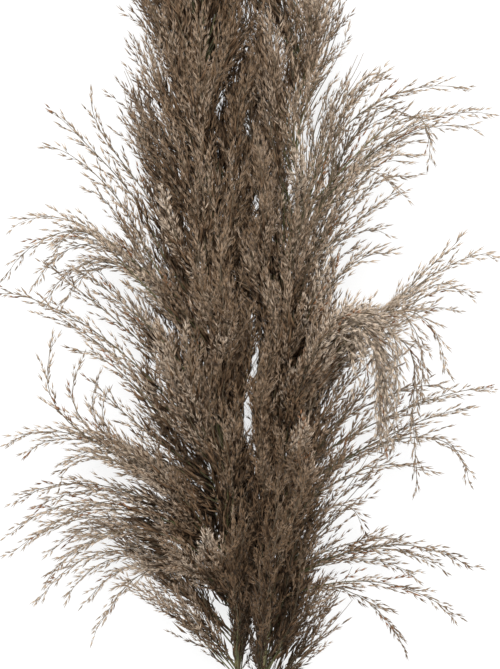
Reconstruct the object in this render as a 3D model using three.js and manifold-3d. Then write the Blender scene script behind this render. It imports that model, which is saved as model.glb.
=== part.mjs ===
// Dried pampas grass: two cut plumes tied with twine, lying on their side.
// Millimetres. +Z is up, +Y runs along the bunch from the cut ends to the tips, X runs across it.
// The origin is on the surface that the bunch lies on, under the middle of its box.

import * as THREE from 'three';
import Module from 'manifold-3d';
import { mergeVertices } from 'three/addons/utils/BufferGeometryUtils.js';

const wasm = await Module();
wasm.setup();

// Driving sizes. While the pieces are made, Y is measured from the tie.
const GAP = 0.3; // between neighbouring pieces
const SHORTEST_EDGE = 0.02; // of a head, where its branches cross
const CULM_SIDES = 8;
const CULM_STEPS = 12;
const BUTT_RADIUS = 4.0;
const TIE_RADIUS = 3.5;
const NECK_RADIUS = 2.6; // where the head begins
const RING_SWELL = 0.7; // how far a culm's ring stands out
const TWINE = 2.4; // thickness of the twine
const TURNS = 5;
const TWINE_SIDES = 14; // corners of the band of twine
const END_REACH = 22; // how far the twine's two ends reach sideways
const BRANCHES = 54; // branches that the rule places on each head
const BRANCH_LENGTH = 215;
const TIP_BRANCH_LENGTH = 80;
const BRANCH_STEP = 27; // between the tufts of such a branch
const BARE_SHARE = 0.2; // of a branch, from its root, has no tufts
const STALK = 2.1; // a branch's radius at its root
const TUFT = 12; // how far a tuft stands off its branch
const OUTLIER_STEPS = 6;
const OUTLIER_TUFT = 9;
const CORE_SIDES = 6;
const CORE_STEP = 32;
const CORE_RADIUS = 11;
const CORE_TUFT = 14;
const NEAR_LEAN = 1.2; // how far a tuft leans towards the tip, in steps: those on one side
const FAR_LEAN = 2.1; // and those on the other, so that the two sides alternate
const PAST_TIP = 0.3; // how far a tuft may pass its branch's tip, in steps
const GOLDEN_ANGLE = THREE.MathUtils.degToRad(137.508);
const ROOM = 50; // a branch keeps its full spread where it has this much room
const UPTURN = 0.35; // how much more the branches on the upper side turn outwards at their tips
const CLEAR_FLOOR = 4.5; // a branch's middle line stays this far above the surface
const CLEAR_MIDDLE = 3.2; // and this far from the line where the two heads meet
const CLEAR_TUFT = 1.2; // as far as a tuft stays from that line
const SLACK = 14; // the most that a branch keeps beyond that, so that those pressed flat lie side by side

// The two plumes. A middle line's rows are distance from the tie, sideways and height. rings are where a culm
// swells. spread is how much more the branches turn outwards at their tips on the outer side, and reach is
// the share of their full spread that they have there. outliers are the outlying branches, chosen by eye:
// where each leaves the middle line (distance from the tie), a point on its way and its tip, each as
// sideways, distance from the tie and height.
const LEFT = {
  name: 'left',
  side: -1,
  seed: 11,
  spread: 0.0,
  reach: 1.0,
  line: [
    [-205, -15, 4.0],
    [0, -3.65, 6.3],
    [180, -11, 16],
    [320, -20, 40],
    [480, -30, 62],
    [640, -38, 74],
    [810, -50, 80],
    [940, -62, 74],
    [1030, -78, 58],
  ],
  rings: [-120, 95],
  headStart: 180,
  outliers: [
    [560, [-130, 713, 85], [-193, 786, 92]],
    [590, [-130, 738, 60], [-162, 806, 52]],
    [530, [-128, 688, 110], [-191, 746, 128]],
    [520, [-130, 672, 50], [-170, 710, 40]],
    [560, [-150, 664, 95], [-234, 676, 84]],
    [540, [-154, 664, 80], [-250, 621, 40]],
    [520, [-140, 652, 118], [-186, 645, 124]],
    [470, [-150, 590, 60], [-201, 634, 62]],
    [450, [-165, 572, 90], [-250, 606, 78]],
    [440, [-150, 548, 40], [-215, 584, 34]],
    [420, [-120, 520, 105], [-173, 549, 122]],
    [400, [-115, 478, 60], [-160, 519, 66]],
    [390, [-172, 472, 80], [-204, 559, 70]],
    [400, [-165, 463, 62], [-250, 451, 34]],
    [370, [-130, 440, 96], [-193, 424, 96]],
    [350, [-150, 412, 60], [-248, 393, 26]],
    [345, [-150, 398, 84], [-240, 366, 56]],
    [330, [-140, 380, 46], [-243, 340, 12]],
    [320, [-115, 372, 90], [-200, 322, 78]],
    [305, [-130, 345, 40], [-222, 290, 10]],
    [300, [-95, 330, 70], [-160, 262, 44]],
    [480, [-130, 600, 96], [-178, 626, 84]],
    [500, [-30, 560, 130], [-26, 588, 176]],
    [300, [-38, 350, 95], [-44, 375, 140]],
    [600, [-75, 665, 130], [-88, 702, 160]],
    [380, [-112, 430, 100], [-160, 452, 118]],
    [440, [-70, 520, 128], [-92, 560, 150]],
  ],
};
const RIGHT = {
  name: 'right',
  side: 1,
  seed: 29,
  spread: 0.05,
  reach: 0.58,
  line: [
    [-195, 15, 4.0],
    [0, 3.65, 6.3],
    [160, 10, 15],
    [300, 19, 38],
    [460, 28, 60],
    [620, 36, 72],
    [800, 48, 80],
    [920, 58, 74],
    [1005, 72, 58],
  ],
  rings: [-95, 130],
  headStart: 160,
  outliers: [
    [690, [118, 790, 84], [212, 811, 80]],
    [670, [150, 767, 70], [250, 789, 48]],
    [680, [150, 776, 104], [177, 739, 84]],
    [640, [100, 722, 118], [155, 736, 132]],
    [620, [92, 724, 60], [149, 709, 40]],
    [600, [92, 668, 96], [139, 706, 108]],
    [580, [85, 655, 50], [132, 670, 44]],
    [530, [85, 618, 96], [135, 645, 112]],
    [500, [158, 610, 70], [210, 662, 66]],
    [500, [178, 620, 60], [250, 644, 34]],
    [480, [150, 590, 92], [216, 606, 92]],
    [470, [140, 572, 50], [206, 590, 24]],
    [460, [130, 586, 132], [188, 527, 100]],
    [470, [138, 562, 112], [162, 413, 60]],
    [450, [112, 586, 152], [141, 458, 116]],
    [430, [130, 500, 70], [196, 512, 62]],
    [420, [165, 492, 54], [250, 509, 28]],
    [402, [150, 470, 82], [218, 490, 78]],
    [400, [165, 462, 60], [219, 416, 24]],
    [370, [102, 430, 92], [172, 430, 92]],
    [340, [75, 392, 70], [109, 376, 66]],
    [310, [92, 350, 50], [152, 356, 40]],
    [300, [130, 352, 60], [230, 325, 22]],
    [290, [120, 320, 84], [205, 280, 56]],
    [285, [92, 305, 36], [160, 240, 8]],
    [455, [122, 590, 140], [168, 500, 108]],
    [430, [76, 562, 150], [118, 578, 172]],
    [400, [45, 455, 120], [52, 482, 166]],
    [670, [42, 715, 150], [46, 744, 182]],
    [540, [60, 600, 140], [76, 640, 168]],
  ],
};

// Colours
const STRAW = 0x9a8f6a;
const TAUPE = 0x74665a;
const JUTE = 0xa58a63;

// Numbers that look random and are the same each time
function drawsFrom(seed) {
  let state = seed >>> 0;
  return () => {
    state = (Math.imul(state, 1664525) + 1013904223) >>> 0;
    return state / 4294967296;
  };
}

const mix = (a, b, t) => a + (b - a) * t;

function ease(low, high, value) {
  const t = Math.min(Math.max((value - low) / (high - low), 0), 1);
  return t * t * (3 - 2 * t);
}

// A plume's middle line at a distance y from the tie, as a smooth curve with no overshoot
function linePoint(plume, y) {
  const line = plume.line;
  let i = 0;
  while (i < line.length - 2 && y > line[i + 1][0]) {
    i += 1;
  }
  const span = line[i + 1][0] - line[i][0];
  const t = (y - line[i][0]) / span;
  const rise = (k, axis) => (line[k + 1][axis] - line[k][axis]) / (line[k + 1][0] - line[k][0]);
  const slope = (k, axis) => {
    if (k === 0) return rise(0, axis);
    if (k === line.length - 1) return rise(k - 1, axis);
    const before = rise(k - 1, axis);
    const after = rise(k, axis);
    return before * after <= 0 ? 0 : (2 * before * after) / (before + after);
  };
  const at = (axis) => {
    const start = line[i][axis];
    const end = line[i + 1][axis];
    const t2 = t * t;
    const t3 = t2 * t;
    return (
      start * (2 * t3 - 3 * t2 + 1) +
      slope(i, axis) * span * (t3 - 2 * t2 + t) +
      end * (3 * t2 - 2 * t3) +
      slope(i + 1, axis) * span * (t3 - t2)
    );
  };
  return new THREE.Vector3(at(1), y, at(2));
}

function lineDirection(plume, y) {
  const step = 1;
  return linePoint(plume, y + step).sub(linePoint(plume, y - step)).normalize();
}

// 1 where the two heads part and light shows between them, and 0 where they close up
function slitShare(y) {
  return ease(430, 480, y) * (1 - ease(560, 600, y));
}

// How far sideways the line where the two heads meet wanders at a distance y from the tie
function sway(y) {
  return ease(220, 340, y) * (2 + 4.5 * Math.cos(((y - 702) / 145) * 2 * Math.PI));
}

// Keeps a point on its own plume's side of the middle plane and above the surface
function keepClear(point, plume, fromMiddle, fromFloor) {
  point.x = plume.side * Math.max(plume.side * point.x, fromMiddle);
  point.z = Math.max(point.z, fromFloor);
  return point;
}

// A closed mesh as a solid
function toSolid(geometry) {
  const bare = geometry.clone();
  bare.deleteAttribute('normal');
  bare.deleteAttribute('uv');
  const merged = mergeVertices(bare, 1e-4);
  const triVerts = [];
  const index = merged.index.array;
  for (let i = 0; i < index.length; i += 3) {
    const [a, b, c] = [index[i], index[i + 1], index[i + 2]];
    if (a !== b && b !== c && c !== a) {
      triVerts.push(a, b, c);
    }
  }
  return new wasm.Manifold(
    new wasm.Mesh({
      numProp: 3,
      vertProperties: merged.attributes.position.array,
      triVerts: new Uint32Array(triVerts),
    }),
  );
}

// All the solids as one, joined in pairs
function joined(solids) {
  let level = solids;
  while (level.length > 1) {
    const next = [];
    for (let i = 0; i < level.length; i += 2) {
      next.push(i + 1 < level.length ? level[i].add(level[i + 1]) : level[i]);
    }
    level = next;
  }
  return level[0];
}

// The outer shell of the largest body, so that sealed hollows are filled and loose scraps dropped
function largestBody(solid) {
  const bodies = solid.decompose();
  return bodies.reduce((best, body) => (body.volume() > best.volume() ? body : best));
}

function toMesh(name, solid, color, roughness) {
  const { vertProperties, triVerts } = solid.getMesh();
  const geometry = new THREE.BufferGeometry();
  geometry.setAttribute('position', new THREE.BufferAttribute(vertProperties, 3));
  geometry.setIndex(new THREE.BufferAttribute(triVerts, 1));
  const faceted = geometry.toNonIndexed();
  faceted.computeVertexNormals();
  const mesh = new THREE.Mesh(faceted, new THREE.MeshStandardMaterial({ color, roughness, metalness: 0 }));
  mesh.name = name;
  return mesh;
}

// A turned shape laid along a plume's middle line: profile is [distance from the tie, radius] rows
function turnedAlong(plume, profile, sides) {
  const points = profile.map(([y, radius]) => new THREE.Vector2(radius, y));
  const geometry = new THREE.LatheGeometry(points, sides);
  const place = geometry.attributes.position;
  const up = new THREE.Vector3(0, 0, 1);
  for (let i = 0; i < place.count; i += 1) {
    const y = place.getY(i);
    const along = lineDirection(plume, y);
    const across = new THREE.Vector3().crossVectors(along, up).normalize();
    const above = new THREE.Vector3().crossVectors(across, along);
    const point = linePoint(plume, y);
    point.addScaledVector(across, place.getX(i)).addScaledVector(above, place.getZ(i));
    place.setXYZ(i, point.x, point.y, point.z);
  }
  return geometry;
}

// A culm: a slim tapering stem with swollen rings where leaves once grew
function culm(plume) {
  const start = plume.line[0][0];
  const end = plume.headStart - GAP;
  const radius = (y) =>
    y < 0 ? mix(BUTT_RADIUS, TIE_RADIUS, (y - start) / -start) : mix(TIE_RADIUS, NECK_RADIUS, y / end);
  const profile = [];
  for (let k = 0; k <= CULM_STEPS; k += 1) {
    const y = mix(start, end, k / CULM_STEPS);
    profile.push([y, radius(y)]);
  }
  for (const ring of plume.rings) {
    for (const [offset, swell] of [[-5, 0], [-1.5, RING_SWELL], [1.5, RING_SWELL], [5, 0]]) {
      profile.push([ring + offset, radius(ring + offset) + swell]);
    }
  }
  profile.sort((a, b) => a[0] - b[0]);
  const closed = [[start, 0], ...profile, [end, 0]];
  return toSolid(turnedAlong(plume, closed, CULM_SIDES));
}

// Where the rings of tufts stand on a branch, as shares of its length: the bare root is one long step
function ringShares(steps) {
  const shares = [0];
  for (let k = 0; k < steps; k += 1) {
    shares.push(mix(BARE_SHARE, 1, k / (steps - 1)));
  }
  return shares;
}

// A branch that follows a rule: it leaves the middle line at one angle and bends steadily to another. It
// spreads less towards the other plume and the surface, where it has less room.
function ruledBranch(plume, y, azimuth, leave, bend, length, slack) {
  const along = lineDirection(plume, y);
  const across = new THREE.Vector3(1, 0, 0).addScaledVector(along, -along.x).normalize();
  const above = new THREE.Vector3().crossVectors(across, along);
  const point = linePoint(plume, y);
  const inward = plume.side * Math.cos(azimuth) < 0;
  const downward = Math.sin(azimuth) < 0;
  const sideways = inward ? Math.min(Math.abs(point.x) / ROOM, 1) : plume.reach;
  const upwards = downward ? Math.min(point.z / ROOM, 1) : 1;
  const out = across.multiplyScalar(Math.cos(azimuth) * sideways);
  out.addScaledVector(above, Math.sin(azimuth) * upwards);
  const points = [point.clone()];
  const shares = ringShares(Math.max(Math.round(length / BRANCH_STEP), 4));
  for (let k = 1; k < shares.length; k += 1) {
    const angle = mix(leave, bend, (shares[k] + shares[k - 1]) / 2);
    const step = (shares[k] - shares[k - 1]) * length;
    point.addScaledVector(along, Math.cos(angle) * step);
    point.addScaledVector(out, Math.sin(angle) * step);
    const parted = slack * mix(0.3, 1, slitShare(point.y));
    keepClear(point, plume, CLEAR_MIDDLE + parted, CLEAR_FLOOR + slack);
    points.push(point.clone());
  }
  return points;
}

// An outlying branch: one smooth curve from the middle line past a point to its tip
function outlyingBranch(plume, [y, via, tip]) {
  const start = linePoint(plume, y);
  const end = new THREE.Vector3(...tip);
  const control = new THREE.Vector3(...via).multiplyScalar(2);
  control.addScaledVector(start, -0.5).addScaledVector(end, -0.5);
  const curve = new THREE.QuadraticBezierCurve3(start, control, end);
  const points = ringShares(OUTLIER_STEPS).map((share) => curve.getPoint(share));
  return points.map((point) => keepClear(point, plume, CLEAR_MIDDLE, CLEAR_FLOOR));
}

// A tufted stalk along a row of points: its faces rise into spikelet tufts at every other corner of every
// ring. A tuft is a pointed fin that leans towards the tip. radius and reach depend on the share of the
// row that a ring stands at.
function tufted(plume, points, sides, radius, reach) {
  const last = points.length - 1;
  const position = [];
  const normal = new THREE.Vector3(0, 0, 1);
  points.forEach((point, k) => {
    if (k === last) {
      position.push(point.x, point.y, point.z);
      return;
    }
    const before = points[Math.max(k - 1, 0)];
    const after = points[k + 1];
    const along = new THREE.Vector3().subVectors(after, before).normalize();
    if (k === 0 && Math.abs(along.z) > 0.9) normal.set(1, 0, 0);
    normal.addScaledVector(along, -normal.dot(along)).normalize();
    const side = new THREE.Vector3().crossVectors(along, normal);
    const share = k / last;
    const span = after.distanceTo(point);
    for (let j = 0; j < sides; j += 1) {
      const turn = (j / sides) * 2 * Math.PI;
      const isTuft = (k + j) % 2 === 1 && k > 0;
      const distance = radius(share) + (isTuft ? reach(share) : 0);
      const vertex = point.clone();
      vertex.addScaledVector(normal, Math.cos(turn) * distance);
      vertex.addScaledVector(side, Math.sin(turn) * distance);
      if (isTuft) {
        const lean = Math.min(j < sides / 2 ? NEAR_LEAN : FAR_LEAN, last - k + PAST_TIP);
        vertex.addScaledVector(along, span * lean);
        keepClear(vertex, plume, CLEAR_TUFT, 0);
      }
      position.push(vertex.x, vertex.y, vertex.z);
    }
  });
  const index = [];
  for (let j = 1; j < sides - 1; j += 1) {
    index.push(0, j + 1, j);
  }
  const tip = last * sides;
  for (let k = 0; k < last; k += 1) {
    for (let j = 0; j < sides; j += 1) {
      const [a, b] = [k * sides + j, k * sides + ((j + 1) % sides)];
      const [c, d] = [a + sides, b + sides];
      if (k === last - 1) index.push(a, b, tip);
      else if ((k + j) % 2 === 0) index.push(a, b, d, a, d, c);
      else index.push(a, b, c, b, d, c);
    }
  }
  const geometry = new THREE.BufferGeometry();
  geometry.setAttribute('position', new THREE.BufferAttribute(new Float32Array(position), 3));
  geometry.setIndex(index);
  return toSolid(geometry);
}

function branch(plume, points, stalk, tuft) {
  const radius = (share) => stalk * mix(1, 0.45, share);
  const reach = (share) => tuft * mix(1, 0.25, ease(0.5, 1, share));
  return tufted(plume, points, 4, radius, reach);
}

// A head's core: the stalk inside it, swollen with the crowded bases of the branches and tufted all over
function core(plume) {
  const start = plume.headStart;
  const end = plume.line[plume.line.length - 1][0];
  const steps = Math.round((end - start) / CORE_STEP);
  const points = [];
  for (let k = 0; k <= steps; k += 1) {
    points.push(linePoint(plume, mix(start, end, k / steps)));
  }
  const fullness = (share) => ease(0, 0.3, share) * (1 - 0.8 * ease(0.6, 1, share));
  const radius = (share) => mix(NECK_RADIUS, CORE_RADIUS, fullness(share));
  const reach = (share) => mix(3, CORE_TUFT, fullness(share));
  return tufted(plume, points, CORE_SIDES, radius, reach);
}

// The branches of a head. They rise beside the middle line, and those low on the head spread more on the
// outer side. They shorten towards the tip.
function branchesOf(plume) {
  const draw = drawsFrom(plume.seed);
  const start = plume.headStart;
  const end = plume.line[plume.line.length - 1][0];
  const branches = [];
  for (let i = 0; i < BRANCHES; i += 1) {
    const share = (i + 0.5) / BRANCHES;
    const y = mix(start + 6, end - 14, share);
    const azimuth = i * GOLDEN_ANGLE + (draw() - 0.5) * 0.5;
    const outward = Math.max(plume.side * Math.cos(azimuth), 0);
    const low = 1 - ease(0, 0.5, share);
    const raised = Math.max(Math.sin(azimuth), 0);
    const leave = mix(0.55, 0.7, low) + (draw() - 0.5) * 0.2;
    const bend = 0.6 * draw() + outward * (plume.spread + 0.3 * low) + UPTURN * raised;
    const full = mix(BRANCH_LENGTH, TIP_BRANCH_LENGTH, ease(0.5, 1, share));
    const length = full * mix(0.8, 1.1, draw());
    const slack = draw() * SLACK;
    branches.push(ruledBranch(plume, y, azimuth, leave, bend, length, slack));
  }
  return branches;
}

// A head: its core and all its branches as one body, which wanders with the line where the two heads meet
function head(plume) {
  const parts = [core(plume)];
  for (const points of branchesOf(plume)) {
    parts.push(branch(plume, points, STALK, TUFT));
  }
  for (const outlier of plume.outliers) {
    parts.push(branch(plume, outlyingBranch(plume, outlier), STALK, OUTLIER_TUFT));
  }
  const whole = joined(parts).warp((vertex) => {
    vertex[0] += sway(vertex[1]);
  });
  return largestBody(whole.simplify(SHORTEST_EDGE));
}

// The turns of twine side by side round both culms, as a ridged band with flat sides
function twineBand(inner, aside, height) {
  const half = (TURNS * TWINE) / 2;
  const profile = [[inner, -half]];
  for (let turn = 0; turn < TURNS; turn += 1) {
    const low = -half + turn * TWINE;
    profile.push([inner + TWINE * 0.5, low]);
    profile.push([inner + TWINE, low + TWINE * 0.25]);
    profile.push([inner + TWINE, low + TWINE * 0.75]);
  }
  profile.push([inner + TWINE * 0.5, half], [inner, half], [inner, -half]);
  const points = profile.map(([radius, y]) => new THREE.Vector2(radius, y));
  const geometry = new THREE.LatheGeometry(points, TWINE_SIDES, Math.PI / TWINE_SIDES);
  const place = geometry.attributes.position;
  for (let i = 0; i < place.count; i += 1) {
    const x = place.getX(i);
    place.setXYZ(i, x + Math.sign(x) * aside, place.getY(i), place.getZ(i) + height);
  }
  return toSolid(geometry);
}

// A short end of the twine, from the knot over the side of the band and down
function twineEnd(knot, side) {
  const section = new THREE.Shape();
  for (let corner = 0; corner < 5; corner += 1) {
    const turn = (corner / 5) * 2 * Math.PI;
    const [x, y] = [Math.cos(turn) * TWINE * 0.5, Math.sin(turn) * TWINE * 0.5];
    if (corner === 0) section.moveTo(x, y);
    else section.lineTo(x, y);
  }
  const away = new THREE.Vector3(side * END_REACH * 0.6, side * 4, 2);
  const down = new THREE.Vector3(side * END_REACH, side * 12, TWINE - knot.z);
  const path = new THREE.QuadraticBezierCurve3(knot, away.add(knot), down.add(knot));
  return toSolid(new THREE.ExtrudeGeometry(section, { extrudePath: path, steps: 6 }));
}

// The tie: the turns, the knot on top of them and the two short ends
function twine() {
  const [, aside, height] = RIGHT.line[1];
  const inner = (TIE_RADIUS + GAP) / Math.cos(Math.PI / TWINE_SIDES);
  const knot = new THREE.Vector3(0, 0, height + inner + TWINE);
  const lump = new THREE.SphereGeometry(TWINE * 1.4, 8, 5);
  lump.scale(1.2, 1, 0.8);
  lump.translate(knot.x, knot.y, knot.z);
  const band = twineBand(inner, aside, height);
  return joined([band, toSolid(lump), twineEnd(knot, -1), twineEnd(knot, 1)]);
}

const model = new THREE.Group();
for (const plume of [LEFT, RIGHT]) {
  model.add(toMesh(`${plume.name}_culm`, culm(plume), STRAW, 0.6));
  model.add(toMesh(`${plume.name}_head`, head(plume), TAUPE, 0.9));
}
model.add(toMesh('twine', twine(), JUTE, 0.95));

// The box's middle goes over the origin
const box = new THREE.Box3().setFromObject(model);
const middle = box.getCenter(new THREE.Vector3());
for (const mesh of model.children) {
  mesh.position.set(-middle.x, -middle.y, -box.min.z);
}

export default model;
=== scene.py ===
"""The looks of a tied bunch of dried pampas grass: two cut plumes that lie on their side.

A piece is worked out in millimetres, with Y measured from the tie as in the solids. placed() then brings
it into the frame, in metres.
"""

import math

import bpy
import numpy as np
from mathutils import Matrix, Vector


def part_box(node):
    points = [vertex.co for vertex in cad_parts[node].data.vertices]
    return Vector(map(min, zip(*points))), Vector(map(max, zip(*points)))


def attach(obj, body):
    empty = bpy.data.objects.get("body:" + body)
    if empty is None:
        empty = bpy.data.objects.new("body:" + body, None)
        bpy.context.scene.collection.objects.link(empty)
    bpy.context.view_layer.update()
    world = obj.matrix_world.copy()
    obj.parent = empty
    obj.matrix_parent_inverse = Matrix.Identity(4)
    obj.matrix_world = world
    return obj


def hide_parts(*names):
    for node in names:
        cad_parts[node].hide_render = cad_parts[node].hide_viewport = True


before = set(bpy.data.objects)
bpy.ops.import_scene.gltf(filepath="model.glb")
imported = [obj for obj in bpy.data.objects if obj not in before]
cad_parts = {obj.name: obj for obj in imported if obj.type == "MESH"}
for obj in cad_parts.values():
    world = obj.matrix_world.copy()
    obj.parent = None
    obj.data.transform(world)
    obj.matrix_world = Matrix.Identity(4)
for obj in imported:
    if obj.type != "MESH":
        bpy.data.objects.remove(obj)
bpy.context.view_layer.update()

MM = 0.001
SEED = 5  # of what the solids leave to this file

# The bunch, as in the solids
BUTT_RADIUS = 4.0
TIE_RADIUS = 3.5
NECK_RADIUS = 2.6
RING_SWELL = 0.7
GAP = 0.3
TWINE = 2.4
TURNS = 5
END_REACH = 22
BRANCHES = 54
FIRST_BRANCH = 6  # past the head's start
LAST_BRANCH = 14  # short of the line's end
BRANCH_LENGTH = 215
TIP_BRANCH_LENGTH = 80
LENGTHS = (0.8, 1.1)  # share of these that a branch has
GOLDEN_ANGLE = math.radians(137.508)
AZIMUTH_RANGE = 0.5  # within which a branch may stand off the golden angle, in radians
LEAVE = (0.55, 0.7)  # angle at which a branch leaves the middle line, high and low on the head
LEAVE_RANGE = 0.2  # within which that angle may be off
BEND = 0.6  # the most that a branch leans out at its tip by itself
LOW_SPREAD = 0.3  # how much more the low branches turn outwards at their tips on the outer side
UPTURN = 0.35  # how much more the branches on the upper side turn outwards at their tips
ROOM = 50  # a branch keeps its full spread where it has this much room
SLACK = 14
CLOSED_SLACK = 0.3  # share of it that is left where the two heads close up
CLEAR_FLOOR = 4.5
PARTING = (430, 480, 560, 600)  # where the heads begin to part, are parted, begin to close up and are closed
SWAY = 4.5  # how far the line between the heads wanders to each side
SWAY_ASIDE = 2  # its middle
SWAY_CREST = 702
SWAY_LENGTH = 145  # of one wave
SWAY_START = (220, 340)
DRAW_FACTOR = 1664525  # this and the next two make the solids' random numbers
DRAW_STEP = 1013904223
DRAW_RANGE = 2**32

# Branches
CLEAR_MIDDLE = 1.5  # less than in the solids, because these branches are thinner
HIGHEST = 212  # of a branch's middle line
PATH_POINTS = 14  # along a branch
# The kinds: their longest branchlets, how far they count as outlying, and the share of their branchlets that
# they lack outside their head's dense part
RULED = {"branchlet": 46.0, "outlying": 0.0, "thinned": 0.85}
INNER = {"branchlet": 30.0, "outlying": 0.6, "thinned": 0.0}
OUTLYING = {"branchlet": 26.0, "outlying": 1.0, "thinned": 0.0}
COMPANIONS = 2  # finer branches beside each one of the rule
# The most that a companion differs from that branch
COMPANION = {"y": 12, "azimuth": 0.4, "bend": 0.15, "length": 0.12, "slack": 4}
FILLERS = 52  # more branches, between the others
# How far their starts stay from the head's two ends, their angles at root and tip, and their lengths
FILLER = {"y": (20, 120), "leave": (0.5, 0.7), "bend": (-0.1, 0.35), "length": (0.7, 1)}
INNER_COPIES = 2  # of each inner branch
TUFT_COPIES = 3  # of each branch of the tuft
COPY_SHIFT = {"outlying": 4, "inner": 6, "tuft": 5}  # how far the copies of a branch spread
VIA_SHIFT = 0.6  # share of its shift that an outlying copy has on its way
TIP_SHIFT = 1.5  # how many times its shift an inner or tuft copy has at its tip
SHORTER = 0.17  # share by which each further outlying copy is shorter
MOST_SHORTER = 0.4
SHORTER_RANGE = (0.6, 1)
# What they add to the shade: mean and spread
TONES = {
    "ruled": (0, 0.06), "filler": (0, 0.07), "outlying": (0.2, 0.06), "inner": (0.05, 0.05),
    "tuft": (0.45, 0.05),
}
FULL_TONE = 0.08  # more for an outlying branch that has copies
STALK = 0.8  # a branch's radius at its root
STALK_TIP = 0.25  # share of it at its tip
STALK_SHADE = (0.5, 0.15)  # mean and spread
MAIN_STALK_RINGS = 48
MAIN_STALK_TIP = 0.7
MAIN_STALK_END = 4  # short of the line's end
MAIN_STALK_SHADE = np.array([0.98])

# Branchlets
BARE_SHARE = 0.12  # of a branch, from its root
BRANCHLET_GAP = 8.0
FEWEST_BRANCHLETS = 4
BRANCHLET_ANGLE = (12, 28)  # degrees
FULLEST = (0.35, 0.45)  # shares of a branch between which its branchlets are longest
ROOT_FULLNESS = 0.6
TIP_FULLNESS = (0.28, 0.4)  # in the head, and outlying
BRANCHLET_LENGTHS = (0.7, 1.15)
CURL = 0.22  # how far a branchlet turns towards its branch's tip
CURL_SPREAD = 0.05
BRANCHLET_TONE = 0.05
DENSE_EDGE = (0, 12)  # past the edge of the dense part, where the branchlets thin out
BRANCHLET_RADII = 0.28 * np.array([1, 0.8, 0.5])

# Spikelets
SPIKELET = 10.5
SPIKELET_SIZES = (0.78, 1.2)
SPIKELET_GAP = (3.5, 4.8)  # in the head, and outlying
SPIKELET_WIDTH = (1, 1.25)  # the outlying ones are wider, because nothing beside them fills the outline
SPIKELETS = 13  # the most on one branchlet
BARE_BRANCHLET = 0.1  # share of a branchlet, from its root
SPIKELET_SHIFT = 0.02  # share of its branchlet
SPIKELET_ANGLE = (10, 24)  # degrees
TIP_ANGLE = 0.05  # of the spikelet at a branchlet's tip, in radians
TURN_SPREAD = 0.7  # of a spikelet round its branchlet, in radians
LOW_TIP = 1.0  # a spikelet that would end lower than this turns upwards
FLORET_WIDTH = 0.13  # share of its length
WIDEST = 0.33  # share of a floret's length where it is widest
SECOND_FLORET = (0.9, 0.9, 0.82)  # size beside the first
FLORETS_PART = math.radians(13)

# Spikelet bundles deep in a head, each drawn as one coarse spindle because only its shade shows
BUNDLE = 26.0
BUNDLE_SIZES = (0.7, 1.2)
BUNDLE_WIDTH = 0.12  # share of its length
BUNDLES = 30  # on each branch
BUNDLE_START = 0.05  # share of a branch
BUNDLE_END = (0.72, 0.4)  # in the head, and outlying
BUNDLE_TILT = (0.05, 0.4)
BUNDLE_SHIFT = 3
BUNDLE_EDGE = (-30, 0)  # within the edge of the dense part, where the bundles thin out
NECK_THINNED = 0.7  # share that is missing at the neck
NECK_EDGE = (40, 130)
# Dark: painted shade deep in a head, where the bundles lie
BUNDLE_PAINTED_SHADE = (0.15, 0.06)
BUNDLE_SHADES = (0.01, 0.35)

# Silky hairs beside the spikelets
HAIR = 10.0
HAIR_SIZES = (0.7, 1.3)
HAIR_WIDTH = 0.28
HAIR_TILT = (0.1, 0.5)
HAIR_SHARE = (0.42, 0.8)  # of the spikelets that have one: in the head, and outlying

# Shades of the spikelets, from 0 for the darkest to 1. A pair is for the lower and the upper part of a head.
UPPER_PART = (380, 620)  # where the lower part's shades turn into the upper part's
DEPTH = (10, 80)  # from the middle line, where the darker inner shade turns into the outer one: painted shade deep in a head
# Darker towards a head's middle line: painted shade where the spikelets shade one another
INNER_PAINTED_SHADE = (0.02, 0.07)
OUTER_SHADE = (0.42, 0.25)
UPPER_PAINTED_LIGHT = 0.22  # more for the upper part: painted light, as if lit from above
VALLEY = 24  # half-width of the valley between the heads, where painted shade darkens the spikelets
VALLEY_PAINTED_SHADE = (0.3, 0.1)  # less in it: painted shade
PATCH_SHADE = (0.14, 0.08)  # more or less in patches
SHADE_SPREAD = 0.06
SHADES = (0.03, 0.91)  # of all but the rust-brown ones
RUSTY = 0.05  # share of rust-brown branchlets on the outlying branches
RUST_TONE = 9.0  # marks one, far from any other tone
RUST_SHADE = 0.98
# The patches: lengths over 2 pi of two crossing waves and of those that bend them, and how far they do
PATCH_ACROSS, PATCH_ACROSS_BENT, PATCH_ACROSS_BEND = 9, 23, 1.3
PATCH_ALONG, PATCH_ALONG_BENT, PATCH_ALONG_BEND = 14, 12, 1.7
PATCH_HEIGHT = 19
PATCH_STRENGTH = 0.6

# Slits through which light shows between the heads: half-width, and where each one starts, is fully open,
# starts to close and ends
SLITS = (
    (3.6, 462, 476, 492, 508),
    (2.4, 518, 528, 546, 558),
    (2.2, 678, 686, 702, 712),
    (2.0, 756, 763, 777, 785),
)
GLIMPSE = 4.2  # half-width of the gap through which a short stretch of the main stalk shows
GLIMPSE_OPEN = (0.4, 0.6)  # shares of that stretch between which the gap is fully open

# Culms
CULM_CORNERS = 24
CULM_STEP = 16.0
# Where a culm's ring swells and where it is drawn in: distance from its middle, and share of RING_SWELL
RING_PROFILE = (
    (-8, 0), (-5, 0.12), (-2.6, 0.5), (-1.3, 1), (-0.5, 0.9), (0, 0.45), (0.5, 0.8), (1.3, 1), (2.4, 0.6),
    (5, 0.1), (8, 0),
)
PITH = 0.55  # the hollow's share of the cut butt's radius
HOLLOW_DEPTH = 1.5
HOLLOW_TAPER = 0.8
SMOOTH_ANGLE = math.radians(50)
CULM_PLACES = (0.02, 0.25, 0.8, 0.99)  # of the butt, the two rings and the neck on the map
CUT_PLACE = 0.015  # of the cut's edge on the map
CUT_EDGE = 0.9  # share of the butt's radius inside which the cut is
LINE_LENGTH = 45  # of the fine lines along a culm
LINE_GAP = 1.0
CULM_LENGTH = 380
CULM_GIRTH = 24

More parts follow.
